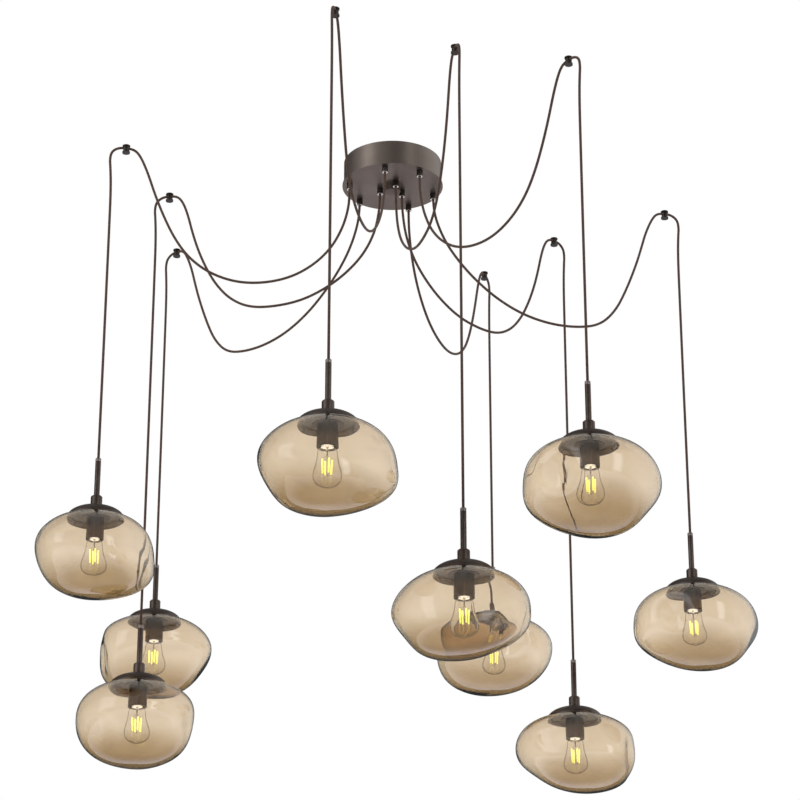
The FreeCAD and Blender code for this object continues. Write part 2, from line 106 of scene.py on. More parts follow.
pendants = []
for group in range(group_count):
    for fan_place, hook_radius, rim_drop, swag in cord_kinds:
        side = math.radians(first_group_angle + 360 / group_count * group + fan_angle * fan_place)
        pendants.append({
            "number": len(pendants) + 1,
            "outward": on_circle(side),
            "hook_radius": hook_radius,
            "rim_height": -rim_drop,
            "swag": swag,
        })
for pendant in pendants:
    axis = pendant["outward"] * (pendant["hook_radius"] + cord_outset)
    pendant["axis"] = axis
    pendant["rim"] = axis + upright * pendant["rim_height"]
    pendant["body"] = "pendant_" + str(pendant["number"])
print("pendant axes at", [tuple(round(x, 3) for x in p["axis"][:2]) for p in pendants])

# %% [markdown]
# ## The camera
#
# The picture was taken from below and far away, which keeps upright lines upright and makes
# near and far globes almost alike in size. A long lens and a tilt of 23 degrees give the same.

# %% Camera
picture_pixels = 800
focal_pixels = 2759.35
sensor_width = 36.0
camera_place = (0.01746, -5.7767, -3.1130)
camera_tilt = 23.434
farthest_view = 60

camera_data = bpy.data.cameras.new("camera")
camera_data.sensor_width = sensor_width
camera_data.lens = focal_pixels / picture_pixels * sensor_width
camera_data.clip_end = farthest_view
camera = bpy.data.objects.new("camera", camera_data)
camera.location = camera_place
camera.rotation_euler = Euler((math.radians(90 + camera_tilt), 0, 0))
bpy.context.collection.objects.link(camera)
bpy.context.scene.camera = camera
bpy.context.scene.view_settings.view_transform = "Standard"
print("lens", round(camera_data.lens, 1), "mm")

# %% [markdown]
# ## A small language for finishes
#
# Node trees get long when every node is placed and linked by hand. Here one class wraps a
# socket, so that finishes are written as sums: an expression such as 1 - mask * 0.5 adds its
# own Math nodes. Colours and vectors have their own methods, because a Math node would turn
# them grey. A colour is written in three parts, and is opaque.

# %% The socket class and the finish class
class Wire:
    """A socket of a shader tree that can be used in sums."""

    def __init__(self, finish, socket):
        self.finish = finish
        self.socket = socket

    def combine(self, operation, first, second):
        return self.finish.node("ShaderNodeMath", {"operation": operation}, {0: first, 1: second})

    def __add__(self, other):
        return self.combine("ADD", self, other)

    def __radd__(self, other):
        return self.combine("ADD", other, self)

    def __sub__(self, other):
        return self.combine("SUBTRACT", self, other)

    def __rsub__(self, other):
        return self.combine("SUBTRACT", other, self)

    def __mul__(self, other):
        return self.combine("MULTIPLY", self, other)

    def __rmul__(self, other):
        return self.combine("MULTIPLY", other, self)

    def larger(self, other):
        return self.combine("MAXIMUM", self, other)

    def sine(self):
        return self.finish.node("ShaderNodeMath", {"operation": "SINE"}, {0: self})

    def ramp(self, low, high):
        """0 below low, 1 above high, and a smooth step between them."""
        settings = {"interpolation_type": "SMOOTHSTEP"}
        return self.finish.node("ShaderNodeMapRange", settings, {0: self, 1: low, 2: high})

    def as_vector(self, operation, values, output=0):
        settings = {"operation": operation}
        return self.finish.node("ShaderNodeVectorMath", settings, {0: self, **values}, output)

    def dot(self, direction):
        return self.as_vector("DOT_PRODUCT", {1: direction}, "Value")

    def length(self):
        return self.as_vector("LENGTH", {}, "Value")

    def stretched(self, scales):
        return self.as_vector("MULTIPLY", {1: scales})


class Finish:
    """One node tree, of a material or of the world, that is filled by calls."""

    def __init__(self, owner):
        self.owner = owner
        owner.use_nodes = True
        self.tree = owner.node_tree
        self.tree.nodes.clear()

    def node(self, kind, settings=None, values=None, output=0):
        made = self.tree.nodes.new(kind)
        for name, value in (settings or {}).items():
            setattr(made, name, value)
        for key, value in (values or {}).items():
            socket = made.inputs[key]
            if isinstance(value, Wire):
                self.tree.links.new(value.socket, socket)
            elif socket.type == "RGBA":
                socket.default_value = (*value, 1)
            else:
                socket.default_value = value
        return Wire(self, made.outputs[output])

    def ray(self, kind):
        """1 for the rays of one kind, such as Camera, Glossy or Shadow, and 0 for the others."""
        return self.node("ShaderNodeLightPath", output="Is " + kind + " Ray")

    def blend(self, factor, first, second):
        """A colour between two colours."""
        settings = {"data_type": "RGBA"}
        values = {0: factor, 6: first, 7: second}
        return self.node("ShaderNodeMix", settings, values, 2)

    def place(self, scales=(1, 1, 1)):
        """The place on the piece, in metres, stretched by scales."""
        return self.node("ShaderNodeTexCoord", output="Object").stretched(scales)

    def grain(self, scale, detail, scales=(1, 1, 1)):
        """Soft random patches between 0 and 1, about 1 / scale metres wide."""
        values = {"Vector": self.place(scales), "Scale": scale, "Detail": detail}
        return self.node("ShaderNodeTexNoise", values=values)

    def bump(self, height, distance):
        return self.node("ShaderNodeBump", values={"Height": height, "Distance": distance})

    def surface(self, values):
        return self.node("ShaderNodeBsdfPrincipled", values=values)

    def show(self, shader):
        """Sends the shader to the tree's output, and returns the material or the world."""
        in_world = isinstance(self.owner, bpy.types.World)
        kind = "ShaderNodeOutputWorld" if in_world else "ShaderNodeOutputMaterial"
        ending = self.tree.nodes.new(kind)
        self.tree.links.new(shader.socket, ending.inputs["Surface"])
        return self.owner


def new_finish(name):
    return Finish(bpy.data.materials.new(name))


print("finish language ready")

# %% [markdown]
# ## Cloth cords
#
# Each cord is one fixed length of textile cable: out of its grip, along a slack swag, over the
# hook and straight down under the pendant's weight. It could be a bevelled curve, but a woven
# cover needs a direction around and along the cord, so the tube is a mesh whose rings follow
# the points of a smooth curve, with its own map of turn and length for the braid.

# %% The cord's route as a smooth curve
cord_diameter = 0.006
stem_top = 0.1445
stem_cord_depth = 0.020
curve_order = 3


def cord_route(pendant):
    """The control points of one cord, from inside the canopy to inside the stem."""
    reach = pendant["hook_radius"]
    flat = list(pendant["swag"])
    flat += [(reach + out, height) for out, height in hook_arch]
    flat.append((reach + cord_outset, pendant["rim_height"] + stem_top - stem_cord_depth))
    return [pendant["outward"] * out + upright * height for out, height in flat]


def smooth_points(route, steps=10):
    """Points along the smooth curve that the route's points control."""
    data = bpy.data.curves.new("route", "CURVE")
    data.dimensions = "3D"
    data.resolution_u = steps
    spline = data.splines.new("NURBS")
    spline.points.add(len(route) - 1)
    for point, place in zip(spline.points, route):
        point.co = (*place, 1)
    spline.order_u = curve_order
    spline.use_endpoint_u = True
    carrier = bpy.data.objects.new("route", data)
    line = bpy.data.meshes.new_from_object(carrier)
    places = [vertex.co.copy() for vertex in line.vertices]
    bpy.data.objects.remove(carrier)
    bpy.data.meshes.remove(line)
    bpy.data.curves.remove(data)
    return places


first_line = smooth_points(cord_route(pendants[0]))
print("first cord:", len(first_line), "points")

# %% The woven tube around a line
cord_sides = 12


def mesh_piece(name, vertices, faces, material, smooth=True):
    data = bpy.data.meshes.new(name)
    data.from_pydata(vertices, [], faces)
    data.materials.append(material)
    data.polygons.foreach_set("use_smooth", [smooth] * len(data.polygons))
    data.update()
    piece = bpy.data.objects.new(name, data)
    bpy.context.collection.objects.link(piece)
    return piece


def bands(first, rings, sides):
    """The four-sided faces between rings of vertices that follow one another."""
    faces = []
    for ring in range(rings - 1):
        low = first + ring * sides
        high = low + sides
        for corner in range(sides):
            following = (corner + 1) % sides
            faces.append((low + corner, low + following, high + following, high + corner))
    return faces


def cord_tube(name, line, side, material):
    """A closed tube around a line that stays in one upright plane, whose side points across it."""
    vertices = []
    lengths = []
    length = 0.0
    for index, place in enumerate(line):
        before = line[max(index - 1, 0)]
        after = line[min(index + 1, len(line) - 1)]
        along = (after - before).normalized()
        up = side.cross(along).normalized()
        length += (place - before).length
        lengths.append(length)
        for corner in range(cord_sides):
            turn = full_turn * corner / cord_sides
            across = side * math.cos(turn) + up * math.sin(turn)
            vertices.append(place + across * cord_diameter / 2)
    faces = bands(0, len(line), cord_sides)
    turns = []
    for start, end in zip(lengths, lengths[1:]):
        for corner in range(cord_sides):
            left, right = corner / cord_sides, (corner + 1) / cord_sides
            turns += [(left, start), (right, start), (right, end), (left, end)]
    last = (len(line) - 1) * cord_sides
    faces.append(tuple(reversed(range(cord_sides))))
    faces.append(tuple(range(last, last + cord_sides)))
    turns += [(0, 0)] * (2 * cord_sides)
    piece = mesh_piece(name, vertices, faces, material)
    layer = piece.data.uv_layers.new(name="braid")
    braid_unit = math.pi * cord_diameter
    layer.data.foreach_set("uv", [x for u, v in turns for x in (u, v / braid_unit)])
    return piece, length


# %% [markdown]
# The cover is a braid: two sets of yarns that cross at 45 degrees. Two slanted sine waves over
# the tube's map, multiplied, give the little diamonds where the yarns cross. The yarns are
# dark brown, with a painted highlight on top of each crossing and painted shade between them,
# and a few pale flecks of fluff.

# %% Woven cord finish
braid_count = 12
yarn_dark = (0.052, 0.029, 0.021)
crossing_highlight = (0.088, 0.051, 0.037)
fluff_pale = (0.20, 0.14, 0.10)
yarn_relief = 0.00010


def cord_finish():
    finish = new_finish("woven_cord")
    chart = finish.node("ShaderNodeUVMap", {"uv_map": "braid"})
    around = chart.dot((full_turn * braid_count, 0, 0))
    along = chart.dot((0, full_turn * braid_count, 0))
    right_hand = (around + along).sine() * 0.5 + 0.5
    left_hand = (around - along).sine() * 0.5 + 0.5
    diamonds = right_hand * left_hand
    fluff = finish.grain(900, 3)
    # painted highlight on the crossings, painted shade in the gaps between them
    yarn = finish.blend(diamonds.ramp(0.1, 0.7), yarn_dark, crossing_highlight)
    worn = finish.blend(fluff.ramp(0.52, 0.8) * 0.4, yarn, fluff_pale)
    return finish.show(finish.surface({
        "Base Color": worn,
        "Roughness": 0.85,
        "Sheen Weight": 0.22,
        "Sheen Roughness": 0.5,
        "Sheen Tint": (0.55, 0.42, 0.34),
        "Normal": finish.bump(diamonds * 0.8 + fluff * 0.2, yarn_relief),
    }))


woven_cord = cord_finish()

# %% Nine cords
bend_start = 0.009
bend_end = 0.0305
grip_exit_drop = 0.075

for pendant in pendants:
    number = pendant["number"]
    line = smooth_points(cord_route(pendant))
    outward = pendant["outward"]
    cord, length = cord_tube("cord_" + str(number), line, outward.cross(upright), woven_cord)
    hook = outward * pendant["hook_radius"]
    height = upright * -swing_drop
    tuple(hook + pendant["outward"] * bend_start + height)
    tuple(hook + pendant["outward"] * bend_end + height)
    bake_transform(cord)
    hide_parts(pendant["body"] + "_swag_cord", pendant["body"] + "_drop_cord")
    exit_place = outward * pendant["swag"][0][0] - upright * grip_exit_drop
    print("cord", number, "is", round(length, 3), "m long")

# %% [markdown]
# ## Blown glass
#
# Every globe is one form, blown a little larger or smaller, leaning its own way and turned to
# another side: a round body with swells and dents pressed in while it was hot. The form is a
# formula of height and side, so it needs no sculpting. The glass has a real inner face as
# well, because what one sees in thick glass is mostly light bent between two faces that don't
# quite agree. Slow waves in both faces make them disagree.

# %% The form of the glass
shade_widths = [0.272, 0.268, 0.277, 0.280, 0.281, 0.289, 0.274, 0.271, 0.263]
shade_heights = [0.198, 0.183, 0.182, 0.179, 0.174, 0.165, 0.174, 0.182, 0.187]
shade_turns = [26, 1, 187, 196, 321, 243, 147, 96, 50]
shade_leans = [
    (-0.20, -0.35), (-0.20, -0.35), (-0.15, -0.15), (-0.20, 0.0), (0.20, 0.0),
    (-0.20, -0.15), (0.10, -0.05), (0.0, 0.05), (-0.15, -0.20),
]
shade_wall = 0.003
mouth_radius = 0.054
lip_height = 0.009
shoulder_diameter = 0.122
widest_share = 0.43
fullness = 2.26
# side in degrees, depth as a share of the height, reach as a share of the radius, spread round
swells = [
    (343, 0.76, 0.11, 27),
    (187, 0.59, 0.13, 33),
    (284, 0.44, -0.10, 26),
    (183, 0.77, -0.19, 54),
    (44, 0.52, -0.20, 20),
]
swell_height = 0.28
swell_fade = 0.25


def neck_fade(share):
    """0 at the mouth, which stays round, and 1 from a quarter of the height down."""
    return min(1, share / swell_fade)


def mean_radius(share, width):
    """The radius before any swell: one curve up to the shoulder and another to the foot."""
    if share < widest_share:
        shoulder = (1 - (shoulder_diameter / width) ** fullness) ** (1 / fullness)
        reach = (widest_share - share) / widest_share * shoulder
    else:
        reach = (share - widest_share) / (1 - widest_share)
    return width / 2 * max(0.0, 1 - reach ** fullness) ** (1 / fullness)


def swelling(angle, share):
    swell = 1.0
    for side, height_share, reach_share, spread in swells:
        turn = (angle - side + 180) % 360 - 180
        swell += (
            reach_share * math.exp(-(turn / spread) ** 2) * neck_fade(share)
            * math.exp(-((share - height_share) / swell_height) ** 2)
        )
    return swell


def shade_point(share, angle, index):
    """A place on the outer face of one glass, with the cap's rim plane at height zero."""
    width = shade_widths[index]
    reach = mean_radius(share, width) * swelling(angle, share)
    lean = Vector((*shade_leans[index], 0)) * width / 2 * share ** 2
    return on_circle(math.radians(angle), reach, -share * shade_heights[index]) + lean


print("middle radius", round(mean_radius(widest_share, shade_widths[0]), 4), "m")

# %% Rings of one face of the glass
shade_rows = 64
shade_sides = 112
wave_length = 0.075
outer_wave = 0.0006
inner_wave = 0.0009
wave_seed_step = 3.7
inner_seed = 9
pole_gap = 0.02


def row_share(row):
    """The share of the glass's height at a row, with rows crowded at the mouth and the foot."""
    return 0.5 - 0.5 * math.cos(math.pi * (row + pole_gap) / shade_rows)


def face_rings(index, inside):
    """Rings of places from the mouth down to the foot of the outer or the inner face."""
    rings = []
    middle = upright * -widest_share * shade_heights[index]
    shrink = 1 - 2 * shade_wall / shade_widths[index]
    seed = Vector((index * wave_seed_step, inner_seed if inside else 0, 0))
    wave = inner_wave if inside else outer_wave
    for row in range(shade_rows):
        share = row_share(row)
        ring = []
        for place in range(shade_sides):
            spot = shade_point(share, 360 * place / shade_sides, index)
            outward = (spot - middle).normalized()
            ripple = noise.noise(spot / wave_length + seed)
            if inside:
                spot = middle + (spot - middle) * shrink
            ring.append(spot + outward * ripple * wave * neck_fade(share))
        rings.append(ring)
    return rings


def ring_at(radius, height):
    step = full_turn / shade_sides
    return [on_circle(step * place, radius, height) for place in range(shade_sides)]


# the lip's own small sizes: how far its foot flares, and where the flares end
flare = 0.0012
throat_top, throat_foot = 0.0004, -0.0016
seat_top, seat_foot = 0.0028, 0.0009
lip_round = 0.3


def lip_rings():
    """The fire-polished lip, from the throat up over its round top and down the outside."""
    half_wall = shade_wall / 2
    outside = mouth_radius + shade_wall
    corner = half_wall * lip_round
    return [ring_at(radius, height) for radius, height in (
        (mouth_radius + flare, throat_foot), (mouth_radius, throat_top),
        (mouth_radius, lip_height - half_wall), (mouth_radius + corner, lip_height - corner),
        (mouth_radius + half_wall, lip_height),
        (outside - corner, lip_height - corner), (outside, lip_height - half_wall),
        (outside, seat_top), (outside + flare, seat_foot),
    )]


def glass_mesh(name, pendant, material):
    """The whole glass: inner face, lip and outer face, as one closed skin."""
    index = pendant["number"] - 1
    turn = math.radians(shade_turns[index])
    rings = face_rings(index, True)[::-1] + lip_rings() + face_rings(index, False)
    vertices = []
    for ring in rings:
        for spot in ring:
            spun = Vector((
                spot.x * math.cos(turn) - spot.y * math.sin(turn),
                spot.x * math.sin(turn) + spot.y * math.cos(turn), spot.z,
            ))
            vertices.append(spun + pendant["rim"])
    faces = [(b, a, d, c) for a, b, c, d in bands(0, len(rings), shade_sides)]
    last = (len(rings) - 1) * shade_sides
    for first, order in ((0, 1), (last, -1)):
        pole = len(vertices)
        vertices.append(sum(vertices[first:first + shade_sides], Vector()) / shade_sides)
        for place in range(shade_sides):
            following = (place + 1) % shade_sides
            faces.append((first + place, first + following, pole)[::order])
    glass = mesh_piece(name, vertices, faces, material)
    top = pendant["rim_height"]
    depths = [(top - vertex.co.z) / shade_heights[index] for vertex in glass.data.vertices]
    layer = glass.data.uv_layers.new(name="blow")
    chart = [x for loop in glass.data.loops for x in (0.5, depths[loop.vertex_index])]
    layer.data.foreach_set("uv", chart)
    return glass


# %% [markdown]
# The finish is clear glass with a warm amber-tan tint. It is blown, so more glass gathers
# towards the foot and the tint turns to olive there, which a map of depth down the piece can
# follow. Towards its outline one looks along the wall and not through it: the tint deepens,
# and at last turns into a dark line of painted shade. A Layer Weight does that. Lamps must still
# light what is inside, and refraction alone would leave it in a dark shadow, so rays from lamps
# see a plain tinted window instead.

# %% Amber glass finish
amber_light = (0.880, 0.790, 0.665)
amber_deep = (0.360, 0.235, 0.085)
amber_outline_shade = (0.015, 0.014, 0.014)
glass_index = 1.5
foot_weight = 0.72
shoulder_weight = 0.08
side_weight = 0.26
gather_weight = 0.06
glass_waves = 0.0005


def window_mix(finish, shader, tint):
    """The glass for what one sees, and a tinted window for the rays of lamps."""
    window = finish.node("ShaderNodeBsdfTransparent", values={"Color": tint})
    values = {0: finish.ray("Shadow"), 1: shader, 2: window}
    return finish.show(finish.node("ShaderNodeMixShader", values=values))


def edge_of_glass(finish, low, high):
    """0 where the glass faces the eye, 1 along its outline."""
    facing = finish.node("ShaderNodeLayerWeight", values={"Blend": 0.5}, output="Facing")
    return facing.ramp(low, high)


def clear_surface(finish, colour, waves):
    return finish.surface({
        "Base Color": colour,
        "Roughness": 0.0,
        "IOR": glass_index,
        "Transmission Weight": 1.0,
        "Normal": waves,
    })


def amber_finish():
    finish = new_finish("amber_glass")
    depth = finish.node("ShaderNodeUVMap", {"uv_map": "blow"}).dot((0, 1, 0))
    gather = finish.grain(7, 1.5)
    uneven = depth + (gather - 0.5) * 0.18
    foot = uneven.ramp(0.60, 0.95) * foot_weight
    shoulder = (1.0 - depth.ramp(0.10, 0.36)) * shoulder_weight
    sides = edge_of_glass(finish, 0.20, 0.70) * side_weight
    patches = gather.ramp(0.48, 0.72) * gather_weight
    tint = finish.blend(foot + shoulder + (sides + patches), amber_light, amber_deep)
    # the outline turns into a near-black line of painted shade
    seen = finish.blend(edge_of_glass(finish, 0.70, 0.90), tint, amber_outline_shade)
    waves = finish.bump(finish.grain(16, 1), glass_waves)
    return window_mix(finish, clear_surface(finish, seen, waves), amber_light)


amber_glass = amber_finish()

for pendant in pendants:
    glass = glass_mesh("glass_shade_" + str(pendant["number"]), pendant, amber_glass)
    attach(glass, pendant["body"])
    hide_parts(pendant["body"] + "_shade")
print("glass vertices each", len(glass.data.vertices))

# %% [markdown]
# ## Turned metal
#
# The fitting of each pendant is turned and spun work: stem tube, ferrule, collar, domed cap,
# disc and lampholder cup. A turned piece is an outline spun around an axis, and it runs
# anticlockwise, so that its faces look outward. The outline's corners are broken by a small
# round, as a lathe file does, because the thin bright line on such an edge is what makes metal
# look like metal.

# %% Spinning an outline
corner_steps = 3
nearly_straight = math.radians(165)
longest_cut = 0.45
sharp_edge = math.radians(40)
turned_sides = 64


def eased(outline, radius):
    """The outline with its corners rounded."""
    result = []
    for index, (r, z) in enumerate(outline):
        here = Vector((r, z))
        before = Vector(outline[index - 1]) - here
        after = Vector(outline[(index + 1) % len(outline)]) - here
        if before.angle(after) > nearly_straight:
            result.append((r, z))
            continue
        cut = min(radius, before.length * longest_cut, after.length * longest_cut)
        start = here + before.normalized() * cut
        end = here + after.normalized() * cut
        for step in range(corner_steps + 1):
            t = step / corner_steps
            spot = start * (1 - t) ** 2 + here * 2 * t * (1 - t) + end * t ** 2
            result.append(tuple(spot))
    return result


def spin(outlines, centre, segments):
    """Vertices and faces of closed outlines spun about an upright axis."""
    vertices = []
    faces = []
    for outline in outlines:
        count = len(outline)
        first = len(vertices)
        for segment in range(segments):
            turn = full_turn * segment / segments
            vertices += [centre + on_circle(turn, r, z) for r, z in outline]
        for segment in range(segments):
            left = first + segment * count
            right = first + (segment + 1) % segments * count
            for index in range(count):
                following = (index + 1) % count
                faces.append((left + index, right + index, right + following, left + following))
    return vertices, faces


def spun_piece(name, outlines, centre, material, segments=turned_sides):
    vertices, faces = spin(outlines, centre, segments)
    piece = mesh_piece(name, vertices, faces, material)
    piece.data.set_sharp_from_angle(angle=sharp_edge)
    return piece


def tube_outline(inner, outer, low, high):
    return [(inner, low), (outer, low), (outer, high), (inner, high)]


print("an eased square has", len(eased(tube_outline(0, 1, 0, 1), 0.1)), "points")

# %% [markdown]
# Bronze here is a dark lacquered metal. It isn't painted flat: the colour drifts slowly, the
# gloss is broken by fine turning marks and fingerprints, and worn corners show lighter metal.

# %% Bronze and bright metal finishes
turning_depth = 0.000008


def bronze_finish(name, dark, light, roughness):
    finish = new_finish(name)
    drift = finish.grain(14, 2)
    turning = finish.grain(260, 2, scales=(1, 1, 6))
    prints = finish.grain(70, 4)
    worn = finish.node("ShaderNodeNewGeometry", output="Pointiness").ramp(0.52, 0.62)
    colour = finish.blend(drift.ramp(0.3, 0.7), dark, light)
    edge = tuple(min(1, 1.6 * part + 0.02) for part in light)
    return finish.show(finish.surface({
        "Base Color": finish.blend(worn * 0.5, colour, edge),
        "Metallic": 0.9,
        "Roughness": roughness + prints * 0.12 + turning * 0.05,
        "Normal": finish.bump(turning, turning_depth),
    }))


canopy_bronze = bronze_finish("canopy_bronze", (0.124, 0.094, 0.074), (0.172, 0.140, 0.120), 0.30)
fitting_bronze = bronze_finish("fitting_bronze", (0.088, 0.064, 0.052), (0.124, 0.096, 0.082), 0.30)
# a paler copy of the bronze: painted reflection for the hollow side of the dome
cap_painted_reflection = bronze_finish("cap_painted_reflection", (0.300, 0.285, 0.270), (0.420, 0.400, 0.380), 0.34)
satin_ferrule = bronze_finish("satin_ferrule", (0.240, 0.200, 0.185), (0.340, 0.290, 0.270), 0.30)
dark_bronze = bronze_finish("dark_bronze", (0.030, 0.024, 0.021), (0.055, 0.045, 0.040), 0.28)
bright_metal = bronze_finish("bright_metal", (0.40, 0.37, 0.34), (0.53, 0.50, 0.46), 0.14)
zinc_plate = bronze_finish("zinc_plate", (0.46, 0.46, 0.44), (0.60, 0.60, 0.57), 0.26)

# %% One pendant's fitting
# heights are above the plane of the cap's rim
stem_radius = 0.00635
ferrule_foot = 0.1365
collar_radius = 0.01285
dome_radius = 0.064
dome_height = 0.0275
dome_wall = 0.0015
collar_height = 0.0265
disc_radius = 0.0325
disc_top = 0.003
disc_foot = 0.001
cup_radius = 0.0205
cup_foot = -0.048
cup_wall = 0.0015
cup_roof = -0.002
cup_bore_radius = cup_radius - cup_wall
cord_bore = 0.0032
collar_sink = 0.0006
collar_slope = 0.0022
stem_tail = 0.006
ferrule_slope = 0.0012
fit_gap = 0.0002
ring_bore_radius = 0.0132
ring_foot = cup_foot + 0.0004
ring_top = cup_foot + 0.0034
holder_well_radius = 0.0133
holder_roof = -0.009
holder_well_roof = -0.012
holder_foot = cup_foot + 0.004
dome_steps = 20
stem_round = 0.0003
edge_round = 0.0006
cup_round = 0.0007
ferrule_round = 0.0004
ring_round = 0.0005


def quarter_ellipse(radius, height):
    """The outline of half a dome, from its rim up to the stem."""
    turns = [math.pi / 2 * step / dome_steps for step in range(dome_steps)]
    top = height * math.sqrt(1 - (stem_radius / radius) ** 2)
    return [(radius * math.cos(t), height * math.sin(t)) for t in turns] + [(stem_radius, top)]


def dome_outline():
    """The cap, thin between its outer and its inner face."""
    inside = quarter_ellipse(dome_radius - dome_wall, dome_height - dome_wall)
    return quarter_ellipse(dome_radius, dome_height) + inside[::-1]


def fitting_outlines():
    """Stem tube, collar, cap, disc and lampholder cup."""
    collar_foot = dome_height - collar_sink
    collar_top = dome_height + collar_height
    collar = [
        (stem_radius, collar_foot), (collar_radius, collar_foot),
        (collar_radius, collar_top - collar_slope), (collar_radius - collar_slope, collar_top),
        (stem_radius, collar_top),
    ]
    cup = [
        (stem_radius, disc_foot), (stem_radius, cup_roof), (cup_bore_radius, cup_roof),
        (cup_bore_radius, cup_foot), (cup_radius, cup_foot), (cup_radius, disc_foot),
    ]
    return [
        eased(tube_outline(cord_bore, stem_radius, cup_roof - stem_tail, ferrule_foot), stem_round),
        eased(collar, edge_round),
        dome_outline(),
        eased(tube_outline(stem_radius, disc_radius, disc_foot, disc_top), edge_round),
        eased(cup, cup_round),
    ]


def ferrule_outline():
    return eased([
        (cord_bore, ferrule_foot), (stem_radius, ferrule_foot),
        (stem_radius, stem_top - ferrule_slope), (stem_radius - ferrule_slope, stem_top),
        (cord_bore, stem_top),
    ], ferrule_round)


def mouth_ring_outline():
    ring = tube_outline(ring_bore_radius, cup_bore_radius - fit_gap, ring_foot, ring_top)
    return eased(ring, ring_round)


def holder_outline():
    """The ceramic insert of the lampholder, with the well that the bulb's base screws into."""
    shell = cup_bore_radius - fit_gap
    return [
        (0, holder_well_roof), (holder_well_radius, holder_well_roof),
        (holder_well_radius, holder_foot), (shell, holder_foot), (shell, holder_roof),
        (0, holder_roof),
    ]


reflection_slot, disc_slot = 1, 2
downward = -0.05
margin = 0.0005


def paint_cap_underside(fitting, rim_place):
    """Gives the hollow side of the dome a paler copy of the bronze as painted reflection, and the
    disc its black-brown.
    """
    fitting.data.materials.append(cap_painted_reflection)
    fitting.data.materials.append(dark_bronze)
    for face in fitting.data.polygons:
        spot = face.center - rim_place
        reach = math.hypot(spot.x, spot.y)
        beside_collar = reach > collar_radius + 2 * margin
        over_cup = cup_radius + margin < reach < disc_radius + margin
        if beside_collar and disc_top < spot.z < dome_height and face.normal.z < downward:
            face.material_index = reflection_slot
        elif over_cup and 0 < spot.z <= disc_top + fit_gap / 2:
            face.material_index = disc_slot


# %% [markdown]
# Three small set screws hold the glass. They sit in the skirt of the dome, and one of them
# faces forward on every pendant. Each is a short rod with a six-sided hole for its key.

# %% Screws in the skirt of the dome
screw_radius = 0.0021
screw_height = 0.0036
screw_count = 3
screw_length = 0.004
screw_sides = 18
screw_slope = 0.0003
screw_proud = 0.0004
key_radius = screw_radius * 0.55
key_depth = 0.0016
key_corners = 6
# side in degrees of the screw that faces forward
front_side = -90


def skirt_screws(name, centre, material):
    vertices = []
    faces = []
    face_radius = dome_radius * math.sqrt(1 - (screw_height / dome_height) ** 2) + screw_proud
    rings = [
        (screw_radius, -screw_length), (screw_radius, -screw_slope),
        (screw_radius - screw_slope, 0.0), (key_radius, 0.0), (key_radius, -key_depth),
        (0.0, -key_depth),
    ]
    for screw in range(screw_count):
        outward = on_circle(math.radians(front_side + 360 / screw_count * screw))
        across = upright.cross(outward)
        faces += bands(len(vertices), len(rings), screw_sides)
        for radius, depth in rings:
            spot = centre + outward * (face_radius + depth) + upright * screw_height
            corners = key_corners if radius == key_radius else screw_sides
            for side in range(screw_sides):
                angle = full_turn * round(side * corners / screw_sides) / corners
                ray = across * math.cos(angle) + upright * math.sin(angle)
                vertices.append(spot + ray * radius)
    return mesh_piece(name, vertices, faces, material, smooth=False)


# %% Nine fittings
holder_sides = 40
ceramic_relief = 0.00003


def ceramic_finish():
    finish = new_finish("lampholder_ceramic")
    speck = finish.grain(300, 3)
    return finish.show(finish.surface({
        "Base Color": finish.blend(speck.ramp(0.4, 0.7), (0.80, 0.77, 0.71), (0.88, 0.86, 0.82)),
        "Roughness": 0.22 + speck * 0.15,
        "Normal": finish.bump(speck, ceramic_relief),
    }))


ceramic = ceramic_finish()
for pendant in pendants:
    tag = "_" + str(pendant["number"])
    centre = pendant["rim"]
    fitting = spun_piece("fitting_bronze" + tag, fitting_outlines(), centre, fitting_bronze)
    paint_cap_underside(fitting, centre)
    ferrule = spun_piece("ferrule" + tag, [ferrule_outline()], centre, satin_ferrule)
    mouth_ring = spun_piece("mouth_ring" + tag, [mouth_ring_outline()], centre, dark_bronze)
    holder = spun_piece("lampholder" + tag, [holder_outline()], centre, ceramic, holder_sides)
    screws = skirt_screws("skirt_screws" + tag, centre, dark_bronze)
    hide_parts(pendant["body"] + "_fitting")
    for piece in (fitting, ferrule, mouth_ring, holder, screws):
        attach(piece, pendant["body"])
print("fitting vertices", len(fitting.data.vertices))

# %% [markdown]
# ## Clear filament bulbs
#
# The bulb is pear shaped with a shoulder at its neck, as thin as real bulb glass, and closed
# by a small melted tip. A pale insert closes the neck. Below it, a glass stem carries four
# yellow light strips between thin wires. The strips glow gently, as they do in the picture,
# where they are the brightest yellow.

# %% Bulb outlines
bulb_wall = 0.0008
# reach from the axis and height above the cup's foot, down to the melted tip
bulb_form = [
    (0.0126, 0.0030), (0.0130, -0.0005), (0.0172, -0.0040), (0.0190, -0.0110), (0.0199, -0.0210),
    (0.0222, -0.0330), (0.0264, -0.0450), (0.0294, -0.0570), (0.0284, -0.0680), (0.0214, -0.0765),
    (0.0110, -0.0812), (0.0030, -0.0822), (0.0025, -0.0838), (0.0001, -0.0840),
]
bulb_curve_steps = 4
# the least distance from the axis, where the faces of a spun piece close
nearly_axis = 0.0001
driver_cap_radius = 0.0118
driver_cap_height = 0.003
driver_cap_foot = cup_foot + 0.0006
driver_cap_round = 0.0004
stem_rise = 0.0005
stem_length = 0.0165
# reach from the axis and drop below the stem's top
glass_stem_form = [
    (nearly_axis, 0.018), (0.0012, stem_length), (0.0016, 0.010), (0.0030, 0), (nearly_axis, 0),
]


